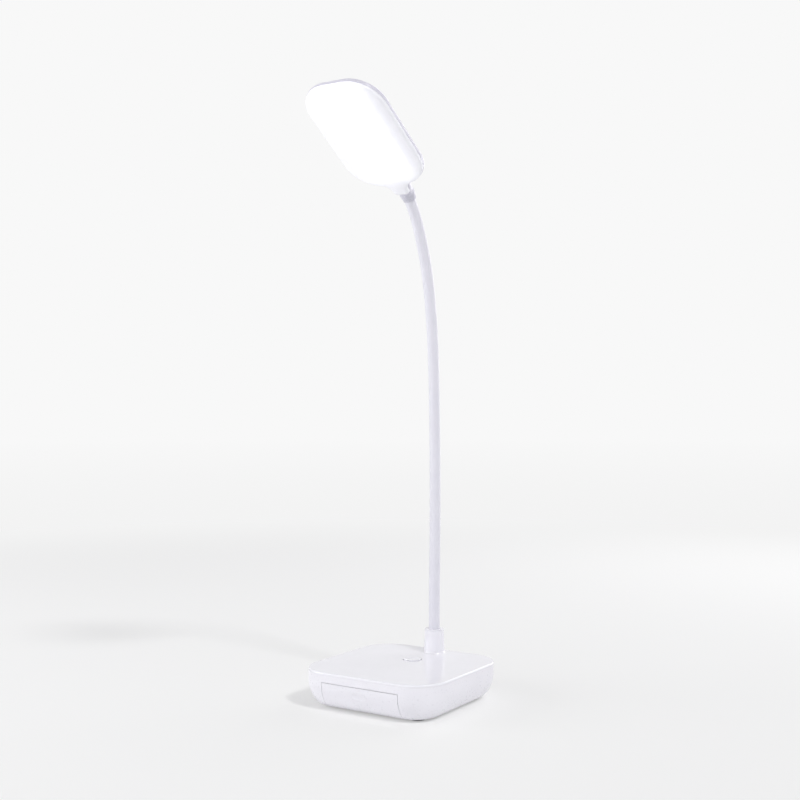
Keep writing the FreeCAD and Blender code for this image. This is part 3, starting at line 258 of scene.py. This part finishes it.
def soft_box(name, turn, height, power):
    """A square area light on the ring around the desk lamp, turned to face it."""
    light = bpy.data.lights.new(name, "AREA")
    light.size = BOX_SIDE
    light.energy = power
    made = bpy.data.objects.new(name, light)
    around = CAMERA_TURN + math.radians(turn)
    up = math.radians(height)
    away = Vector((math.cos(up) * math.sin(around), -math.cos(up) * math.cos(around), math.sin(up)))
    made.location = LAMP_AIM + BOX_DISTANCE * away
    made.rotation_euler = away.to_track_quat("Z", "Y").to_euler()
    made.visible_camera = False
    bpy.context.scene.collection.objects.link(made)


def key_lamp():
    """A small sun: near-parallel light with a soft edge to its shadow."""
    light = bpy.data.lights.new("key", "SUN")
    light.energy = KEY_STRENGTH
    light.angle = KEY_SOFTNESS
    made = bpy.data.objects.new("key", light)
    made.rotation_euler = KEY_DIRECTION.to_track_quat("Z", "Y").to_euler()
    bpy.context.scene.collection.objects.link(made)


key_lamp()
for box in BOXES:
    soft_box(*box)

# %% [markdown]
# ABS is the usual plastic of such a lamp. The base, the collar and the head's back are injection
# moulded in a polished tool. That gives the eye a clean highlight whose edge wobbles a little, because
# the skin of thick plastic sinks by hundredths of a millimetre as it cools.

# %% Moulded ABS
ABS_IOR = 1.54
ABS_DEPTH = 1.2 * MM
ABS_MILKINESS = 0.2
ABS_WHITE = "EBEAF0"
# The head's back is the base's white ABS made darker: painted shade for its shaded edges.
SHELL_PAINTED_SHADE_WHITE = "D8D6E1"
# The ferrule is the same white ABS made darker still: painted shade for the neck under the head's chin.
FERRULE_PAINTED_SHADE_WHITE = "C9C8D3"
# The middle of the noise's own range, so that its rare peaks don't leave the two values.
NOISE_LOW, NOISE_HIGH = 0.3, 0.7


def surface(name):
    """An empty node material with its output, shader and Object coordinates."""
    made = bpy.data.materials.new(name)
    made.use_nodes = True
    tree = made.node_tree
    tree.nodes.clear()
    shader = add(tree, "ShaderNodeBsdfPrincipled")
    add(tree, "ShaderNodeOutputMaterial", {"Surface": shader.outputs[0]})
    place = add(tree, "ShaderNodeTexCoord").outputs["Object"]
    return made, tree, shader, place


def set_shader(shader, **values):
    """Sets the shader's own sockets; a word's underscore stands for a space."""
    for name, value in values.items():
        shader.inputs[name.replace("_", " ")].default_value = value


def milky(shader):
    """White ABS lets light in for about a millimetre, which softens its seams and edges."""
    set_shader(shader, Subsurface_Weight=ABS_MILKINESS, Subsurface_Radius=(1.0, 1.0, 1.0),
               Subsurface_Scale=ABS_DEPTH)


def noise(tree, place, size_mm, detail=2.0):
    """Noise in spots of size_mm, as a number for each point of the piece."""
    return add(tree, "ShaderNodeTexNoise",
               {"Vector": place, "Scale": per_metre(size_mm), "Detail": detail}).outputs[0]


def vary(tree, place, socket, size_mm, low, high):
    """Lets a number of the shader wander between two values over spots of size_mm."""
    spots = noise(tree, place, size_mm)
    spread = add(tree, "ShaderNodeMapRange", {"Value": spots, "From Min": NOISE_LOW, "From Max": NOISE_HIGH,
                                              "To Min": low, "To Max": high})
    tree.links.new(spread.outputs[0], socket)


def tint(tree, place, shader, first, second, size_mm):
    """Lets the base colour drift between two close tones over spots of size_mm."""
    ramp = add(tree, "ShaderNodeValToRGB", {0: noise(tree, place, size_mm, 3.0)})
    for element, position, tone in zip(ramp.color_ramp.elements, (NOISE_LOW, NOISE_HIGH), (first, second)):
        element.position = position
        element.color = linear(tone)
    tree.links.new(ramp.outputs["Color"], shader.inputs["Base Color"])


def relief(tree, place, shader, size_mm, height_mm, detail=2.0):
    """Raises a fine noise relief: size_mm across, height_mm high."""
    grain = noise(tree, place, size_mm, detail)
    bump = add(tree, "ShaderNodeBump", {"Height": grain, "Strength": 1.0, "Distance": height_mm * MM})
    tree.links.new(bump.outputs["Normal"], shader.inputs["Normal"])


def gloss_abs():
    """High-gloss ABS: a polished skin with a slow wobble of 7 mm, about a hundredth deep."""
    made, tree, shader, place = surface("abs_high_gloss_moulded")
    set_shader(shader, IOR=ABS_IOR, Coat_Weight=0.25, Coat_Roughness=0.04)
    milky(shader)
    tint(tree, place, shader, ABS_WHITE, "EDECF2", 25)
    vary(tree, place, shader.inputs["Roughness"], 4, 0.10, 0.16)
    relief(tree, place, shader, 7, 0.012)
    return made


def satin_abs(name, white, second):
    """ABS from a finely etched tool: satin, with a grit of half a millimetre."""
    made, tree, shader, place = surface(name)
    set_shader(shader, IOR=ABS_IOR)
    milky(shader)
    tint(tree, place, shader, white, second, 18)
    vary(tree, place, shader.inputs["Roughness"], 1.5, 0.26, 0.36)
    relief(tree, place, shader, 0.5, 0.006, 3.0)
    return made


GLOSS_ABS = gloss_abs()
SATIN_ABS = satin_abs("abs_satin_moulded", ABS_WHITE, "E8E7ED")
# Painted shade: the head's back is the same white ABS in a darker tone.
SHELL_ABS_PAINTED_SHADE = satin_abs("abs_satin_head_shell_painted_shade", SHELL_PAINTED_SHADE_WHITE, "D4D2DE")
# Painted shade: the ferrule is the same white ABS in a darker tone, for the shadow under the chin.
FERRULE_ABS_PAINTED_SHADE = satin_abs("abs_satin_ferrule_painted_shade", FERRULE_PAINTED_SHADE_WHITE, "C4C3CF")
INNER_ABS = satin_abs("abs_plain_inside", "DCDCDE", "D6D6D8")
print("plastics:", GLOSS_ABS.name, SATIN_ABS.name, SHELL_ABS_PAINTED_SHADE.name, INNER_ABS.name)

# %% [markdown]
# The sleeve is silicone, extruded as a tube and pulled over the steel hose. Silicone has a low
# refractive index and a soft, slightly dusty skin, so its highlight is wide and dim. The feet are
# filled rubber from a moulding press, matt and grey.

# %% Silicone and rubber
SILICONE_IOR = 1.41
RUBBER_IOR = 1.52


def silicone():
    """Extruded silicone: pale, soft and slightly dusty."""
    made, tree, shader, place = surface("silicone_extruded")
    set_shader(shader, IOR=SILICONE_IOR, Sheen_Weight=0.12, Sheen_Roughness=0.4)
    tint(tree, place, shader, "DFDEE6", "DCDBE4", 12)
    vary(tree, place, shader.inputs["Roughness"], 2, 0.34, 0.44)
    relief(tree, place, shader, 0.4, 0.005, 3.0)
    return made


def foot_rubber():
    """Moulded rubber: matt grey, with a fine rough skin."""
    made, tree, shader, place = surface("rubber_moulded")
    set_shader(shader, IOR=RUBBER_IOR)
    tint(tree, place, shader, "6E6E74", "7A7A80", 1.2)
    vary(tree, place, shader.inputs["Roughness"], 0.8, 0.7, 0.85)
    relief(tree, place, shader, 0.35, 0.02, 4.0)
    return made


SILICONE = silicone()
FOOT_RUBBER = foot_rubber()
print("soft finishes:", SILICONE.name, FOOT_RUBBER.name)

# %% [markdown]
# The metals are all plated: zinc on the screws and the nut, nickel on the charging socket and the
# cell's contacts, and bare wound steel for the hose. A metal keeps its colour in its reflection, so
# what tells them apart is the tint and how rough the plating is.

# %% Metals


def plated(name, first, second, rough, grain_mm):
    """A plated metal whose brightness drifts in small crystals."""
    made, tree, shader, place = surface(name)
    set_shader(shader, Metallic=1.0)
    tint(tree, place, shader, first, second, grain_mm)
    vary(tree, place, shader.inputs["Roughness"], grain_mm, rough, rough + 0.12)
    relief(tree, place, shader, grain_mm, 0.004)
    return made


ZINC = plated("zinc_plated_steel", "C4C6CC", "B4B8C2", 0.28, 0.8)
NICKEL = plated("nickel_plated_steel", "CFCBC2", "C2BEB4", 0.2, 0.5)
HOSE_STEEL = plated("wound_steel_wire", "A8A9AD", "98999E", 0.35, 0.6)
BALLAST_STEEL = plated("zinc_coated_sheet", "8E9096", "7C7F86", 0.4, 6.0)
print("metals:", ZINC.name, NICKEL.name, HOSE_STEEL.name, BALLAST_STEEL.name)

# %% [markdown]
# The electronics sit inside and show only in pieces, but each still has its own finish: solder mask on
# glass fibre, white mask on aluminium, moulded epoxy, the cell's shrink sleeve, the leads' PVC skin, the
# yellow phosphor of the LEDs and the milky film in front of them.

# %% Boards, chips, cell and film


def layered(name, first, second, spot_mm, rough_low, rough_high, ior=1.5):
    """A matt or satin skin with two tones in spots of spot_mm and a relief of the same grain."""
    made, tree, shader, place = surface(name)
    set_shader(shader, IOR=ior)
    tint(tree, place, shader, first, second, spot_mm)
    vary(tree, place, shader.inputs["Roughness"], spot_mm, rough_low, rough_high)
    relief(tree, place, shader, spot_mm, 0.01)
    return made


BOARD_GREEN = layered("solder_mask_green", "1F6B3E", "185733", 1.6, 0.3, 0.42)
BOARD_WHITE = layered("solder_mask_white", "E9E9E6", "DEDEDB", 2.0, 0.35, 0.45)
EPOXY_BLACK = layered("epoxy_moulded_black", "1B1B1D", "26262A", 0.6, 0.5, 0.62)
PVC_RED = layered("pvc_insulation_red", "B02A2E", "A02428", 1.5, 0.32, 0.42, 1.53)
PVC_BLACK = layered("pvc_insulation_black", "222226", "2C2C31", 1.5, 0.32, 0.42, 1.53)
SHRINK_SLEEVE = layered("shrink_sleeve_teal", "2A8C9E", "237B8D", 5.0, 0.22, 0.32)
PHOSPHOR = layered("led_phosphor", "E8D56A", "F2E9A8", 0.7, 0.5, 0.6)
MILKY_FILM = layered("polycarbonate_milky", "F0F0F2", "E6E6EA", 3.0, 0.4, 0.5, 1.58)
print("inner finishes:", BOARD_GREEN.name, SHRINK_SLEEVE.name, PHOSPHOR.name)

# %% [markdown]
# Every node of the frame keeps its own shape. Its mesh carries one material slot, and the finish goes
# into that slot, so that the piece itself is left alone.

# %% Dress the frame's nodes


def dress(material, *names):
    """Puts a finish into the material slots of these nodes."""
    for name in names:
        node = frame["nodes"][name]
        if not node.material_slots:
            node.data.materials.append(material)
        for item in node.material_slots:
            item.link = "OBJECT"
            item.material = material


NECK_LINKS = sum(name.startswith("neck_core_") for name in frame["nodes"])
dress(GLOSS_ABS, "base_top_cover", "switch_button", "neck_collar")
dress(SATIN_ABS, "base_lower_housing", "drawer_front")
dress(FERRULE_ABS_PAINTED_SHADE, "neck_ferrule")
dress(SHELL_ABS_PAINTED_SHADE, "head_rear_shell")
dress(INNER_ABS, "drawer_bay_frame", "drawer_tray")
dress(FOOT_RUBBER, "rubber_feet")
dress(ZINC, "housing_screws", "board_screws", "head_screws", "collar_nut")
dress(NICKEL, "charging_socket", "battery_contacts")
dress(BALLAST_STEEL, "ballast_plate")
dress(HOSE_STEEL, *["neck_core_%d" % number for number in range(NECK_LINKS)])
dress(BOARD_GREEN, "control_board", "port_board")
dress(EPOXY_BLACK, "board_components", "tact_switch", "switch_plunger")
dress(SHRINK_SLEEVE, "battery_cell")
dress(PVC_RED, "battery_lead_plus")
dress(PVC_BLACK, "battery_lead_minus", "port_lead")
dress(BOARD_WHITE, "led_board")
dress(PHOSPHOR, "led_chips")
dress(MILKY_FILM, "diffusing_sheet")
print("dressed", len([n for n in frame["nodes"].values() if n.material_slots]), "nodes")

# %% [markdown]
# The sleeve is one smooth tube on the real lamp. It has to bend at every hinge of the chain inside, so
# it is made in stretches that run from the middle of one link to the middle of the next. Neighbours end
# on the same ring of points, so the tube stays whole. A curve through the hinges gives the line, and a
# circle is extruded along it step by step. One fault is open: with all the joints at their lower limits
# together, the last stretch bends wrongly and tears away from the head.

# %% Centre line of the gooseneck
STEPS_PER_LINK = 24
TIP_LENGTH = 20.6 * MM
TIP_LEAN = math.radians(33.98)

neck_joints = [joint for joint in frame["joints"] if joint["name"].startswith("neck_")]
hinges = [Vector(joint["pos_m"]) for joint in neck_joints]
collar_low, collar_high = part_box("neck_collar")
foot_centre = Vector((0, hinges[0].y, collar_low.z))
tip_centre = hinges[-1] + TIP_LENGTH * Vector((0, -math.sin(TIP_LEAN), math.cos(TIP_LEAN)))
knots = [foot_centre] + hinges + [tip_centre]


def knot_direction(number):
    """The line's direction at a knot: that of the chord between its neighbours."""
    before = knots[max(number - 1, 0)]
    after = knots[min(number + 1, len(knots) - 1)]
    return (after - before).normalized()


def link_points(number):
    """The smooth line of one link, from its own hinge to the next."""
    start, end = knots[number], knots[number + 1]
    third = (end - start).length / 3
    handles = start + third * knot_direction(number), end - third * knot_direction(number + 1)
    return geometry.interpolate_bezier(start, *handles, end, STEPS_PER_LINK + 1)


links = [link_points(number) for number in range(len(knots) - 1)]
line_length = sum((b - a).length for link in links for a, b in zip(link, link[1:]))
print("gooseneck: %d links, %.0f mm of sleeve" % (len(links), line_length / MM))

# %% Sleeve stretches
SLEEVE_SEGMENTS = 48
SLEEVE_WALL = 1.35 * MM
SMOOTH_UNDER = math.radians(40)
sleeve_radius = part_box("neck_sleeve_0")[1].x


def ring_places(points):
    """A matrix for each point: the ring's centre there, and its plane square to the line."""
    places = []
    for number, point in enumerate(points):
        before = points[max(number - 1, 0)]
        after = points[min(number + 1, len(points) - 1)]
        along = after - before
        lean = math.atan2(-along.y, along.z)
        places.append(Matrix.Translation(point) @ Matrix.Rotation(lean, 4, "X"))
    return places


def tube_along(points, radius, wall):
    """A round tube with a bore: a circle is extruded from place to place and given its wall."""
    places = ring_places(points)
    bm = bmesh.new()
    bmesh.ops.create_circle(bm, segments=SLEEVE_SEGMENTS, radius=radius, matrix=places[0])
    edges = list(bm.edges)
    for here, there in zip(places, places[1:]):
        grown = bmesh.ops.extrude_edge_only(bm, edges=edges)["geom"]
        ring = {item for item in grown if isinstance(item, bmesh.types.BMVert)}
        bmesh.ops.transform(bm, matrix=there @ here.inverted(), verts=list(ring))
        edges = [item for item in grown if isinstance(item, bmesh.types.BMEdge) and set(item.verts) <= ring]
    bmesh.ops.recalc_face_normals(bm, faces=bm.faces)
    bmesh.ops.solidify(bm, geom=bm.faces[:], thickness=wall)
    return bm


def shade(piece):
    """Smooth shading, with a crease where two faces meet at a sharper angle."""
    piece.data.polygons.foreach_set("use_smooth", [True] * len(piece.data.polygons))
    piece.data.set_sharp_from_angle(angle=SMOOTH_UNDER)


half = STEPS_PER_LINK // 2
for number in range(1, len(links)):
    lower = links[number - 1] if number == 1 else links[number - 1][half:]
    upper = links[number] if number == len(links) - 1 else links[number][:half + 1]
    tube = tube_along(lower + upper[1:], sleeve_radius, SLEEVE_WALL)
    piece = object_from(tube, "sleeve_stretch_%d" % number)
    shade(piece)
    piece.data.materials.append(SILICONE)
    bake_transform(piece)
    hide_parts(*(["neck_sleeve_0"] if number == 1 else []), "neck_sleeve_%d" % number)
print("sleeve: %d stretches, %.1f mm thick" % (len(links) - 1, 2 * sleeve_radius / MM))

# %% [markdown]
# The opal cover is moulded acrylic with a milky filler: light from behind leaves it evenly, and a
# satin skin hides the LEDs. Its front is a shallow pillow that rolls off towards the edge and runs out
# into a narrow chin at the neck. A flat outline is beveled into arcs, cut into a fine grid, and each
# point is pushed out by how far it lies from the outline, which gives the pillow an even shoulder.

# %% The head's own directions
HEAD_TILT = math.radians(33.5)


def head_frame():
    """Turns with the head: +Y runs to the neck and +Z out of the head's back."""
    return Matrix.Rotation(-HEAD_TILT, 4, "X")


def tilted_box(name):
    """The lowest and highest corner of a node in the head's own directions."""
    turned = head_frame().inverted()
    points = [turned @ v.co for v in frame["nodes"][name].data.vertices]
    return (Vector([min(p[axis] for p in points) for axis in range(3)]),
            Vector([max(p[axis] for p in points) for axis in range(3)]))


cover_low, cover_high = tilted_box("diffuser_cover")
board_low, board_high = tilted_box("led_board")
print("opal cover: %.0f by %.0f mm" % ((cover_high.x - cover_low.x) / MM, (cover_high.y - cover_low.y) / MM))

# %% Opal acrylic
OPAL_IOR = 1.49
GLOW = 0.31
EDGE_GLOW = 0.14
SIDE_FADE = (1 * MM, -16 * MM)
CHIN_FADE = (8 * MM, -14 * MM)


def fading(tree, value, edge, reach, low):
    """1 well inside an edge and low beyond it; reach says where the fade starts and ends."""
    return eased(tree, value, (edge + reach[0], edge + reach[1]), (low, 1.0))


def opal_acrylic():
    """Milky acrylic, lit from behind over the LED board and dimmer towards its edges and the chin."""
    made, tree, shader, place = surface("acrylic_opal")
    set_shader(shader, IOR=OPAL_IOR)
    tint(tree, place, shader, "F4F4F9", "F0F0F6", 8)
    vary(tree, place, shader.inputs["Roughness"], 1.2, 0.3, 0.38)
    relief(tree, place, shader, 0.6, 0.004)
    turned = add(tree, "ShaderNodeMapping", {"Vector": place, "Rotation": (HEAD_TILT, 0, 0)})
    parts = add(tree, "ShaderNodeSeparateXYZ", {0: turned.outputs[0]})
    across = add(tree, "ShaderNodeMath", {0: parts.outputs["X"]}, operation="ABSOLUTE").outputs[0]
    side = fading(tree, across, board_high.x, SIDE_FADE, EDGE_GLOW)
    chin = fading(tree, parts.outputs["Y"], board_high.y, CHIN_FADE, 0.0)
    both = add(tree, "ShaderNodeMath", {0: side, 1: chin}, operation="MULTIPLY").outputs[0]
    lit = add(tree, "ShaderNodeMath", {0: both, 1: GLOW}, operation="MULTIPLY").outputs[0]
    shader.inputs["Emission Color"].default_value = linear("FFFFFF")
    tree.links.new(lit, shader.inputs["Emission Strength"])
    return made


OPAL = opal_acrylic()
print("opal:", OPAL.name, "glow", GLOW)

# %% Outline of the opal cover
# Along runs from the cover's far end towards the neck; a reach is how far a corner's arc takes off each
# of its two edges.
CORNER_STEPS = 10
LOWER_REACH = 25.0 * MM
SHOULDER_ALONG = 99.9 * MM
SHOULDER_REACH = 20.3 * MM
CHIN_ROOT_ALONG = 105.4 * MM
CHIN_ROOT_REACH = 6.8 * MM
CHIN_HALF_WIDTH = 7.0 * MM
CHIN_TIP_REACH = 3.9 * MM
COVER_DEPTH = 4.4 * MM
seam_height = cover_low.z + COVER_DEPTH


def cover_outline():
    """The cover's flat outline in the head's directions: eight corners, each beveled into an arc."""
    right = [(cover_high.x, cover_low.y, LOWER_REACH),
             (cover_high.x, cover_low.y + SHOULDER_ALONG, SHOULDER_REACH),
             (CHIN_HALF_WIDTH, cover_low.y + CHIN_ROOT_ALONG, CHIN_ROOT_REACH),
             (CHIN_HALF_WIDTH, cover_high.y, CHIN_TIP_REACH)]
    corners = right + [(-x, y, reach) for x, y, reach in reversed(right)]
    bm = bmesh.new()
    bm.faces.new([bm.verts.new((x, y, seam_height)) for x, y, reach in corners])
    for x, y, reach in corners:
        place = Vector((x, y, seam_height))
        nearest = min(bm.verts, key=lambda vert: (vert.co - place).length)
        bmesh.ops.bevel(bm, geom=[nearest], offset=reach, offset_type="OFFSET", affect="VERTICES",
                        segments=CORNER_STEPS, profile=0.5, material=-1)
    return bm


print("outline:", 8 * CORNER_STEPS, "edges on the arcs")

# %% Pillow of the opal cover
EDGE_RINGS = [width * MM for width in (0.15, 0.25, 0.4, 0.6, 0.9)]
GRID_STEP = 2.0 * MM
PILLOW_REACH = 12.0 * MM
PILLOW_ROUNDNESS = 2.2
RIM_DEPTH = 0.8 * MM
COVER_WALL = 1.2 * MM
NEAREST_EDGES = 6
RIDGE_FROM = 3.0 * MM
RIDGE_PASSES = 6
SNAP = 1e-6


def cut_fine(bm):
    """Narrow rings along the edge, and a grid of cuts over everything."""
    inner = list(bm.faces)
    for width in EDGE_RINGS:
        bmesh.ops.inset_region(bm, faces=inner, thickness=width, use_even_offset=True, use_boundary=True)
    for axis in (0, 1):
        reach = cover_high[axis] - cover_low[axis]
        steps = round(reach / GRID_STEP)
        for step in range(1, steps):
            place, normal = Vector(), Vector()
            place[axis] = cover_low[axis] + reach * step / steps
            normal[axis] = 1
            bmesh.ops.bisect_plane(bm, geom=bm.verts[:] + bm.edges[:] + bm.faces[:], dist=SNAP,
                                   plane_co=place, plane_no=normal)


def from_outline(bm):
    """How far each point lies from the outline."""
    rim = [edge for edge in bm.edges if edge.is_boundary]
    tree = kdtree.KDTree(len(rim))
    for number, edge in enumerate(rim):
        tree.insert((edge.verts[0].co + edge.verts[1].co) / 2, number)
    tree.balance()
    away = {}
    for vert in bm.verts:
        gaps = []
        for place, number, gap in tree.find_n(vert.co, NEAREST_EDGES):
            start, end = rim[number].verts[0].co, rim[number].verts[1].co
            near, share = geometry.intersect_point_line(vert.co, start, end)
            near = start if share < 0 else end if share > 1 else near
            gaps.append((vert.co - near).length)
        away[vert] = min(gaps)
    return away


def pillow_rise(gap):
    """The pillow's height, from 0 at the outline to 1 where its shoulder ends."""
    share = min(gap / PILLOW_REACH, 1)
    return (1 - (1 - share) ** PILLOW_ROUNDNESS) ** (1 / PILLOW_ROUNDNESS)


def pillow():
    """The cover's skin: the front pushed out into a pillow, and its short straight side."""
    bm = cover_outline()
    cut_fine(bm)
    away = from_outline(bm)
    for vert, gap in away.items():
        vert.co.z -= RIM_DEPTH + (COVER_DEPTH - RIM_DEPTH) * pillow_rise(gap)
    ridges = [vert for vert, gap in away.items() if gap > RIDGE_FROM]
    for _ in range(RIDGE_PASSES):
        bmesh.ops.smooth_vert(bm, verts=ridges, factor=0.5, use_axis_z=True)
    edges = [edge for edge in bm.edges if edge.is_boundary]
    grown = bmesh.ops.extrude_edge_only(bm, edges=edges)["geom"]
    ring = [item for item in grown if isinstance(item, bmesh.types.BMVert)]
    bmesh.ops.translate(bm, verts=ring, vec=(0, 0, RIM_DEPTH))
    bmesh.ops.recalc_face_normals(bm, faces=bm.faces)
    front = min(bm.faces, key=lambda face: face.calc_center_median().z)
    if front.normal.z > 0:
        bmesh.ops.reverse_faces(bm, faces=bm.faces)
    bmesh.ops.transform(bm, matrix=head_frame(), verts=bm.verts)
    return bm


cover = object_from(pillow(), "opal_pillow_cover")
shade(cover)
cover.data.materials.append(OPAL)
wall = cover.modifiers.new("wall", "SOLIDIFY")
wall.thickness = COVER_WALL
wall.offset = -1
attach(cover, "head")
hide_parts("diffuser_cover")
print("opal pillow:", len(cover.data.polygons), "faces")
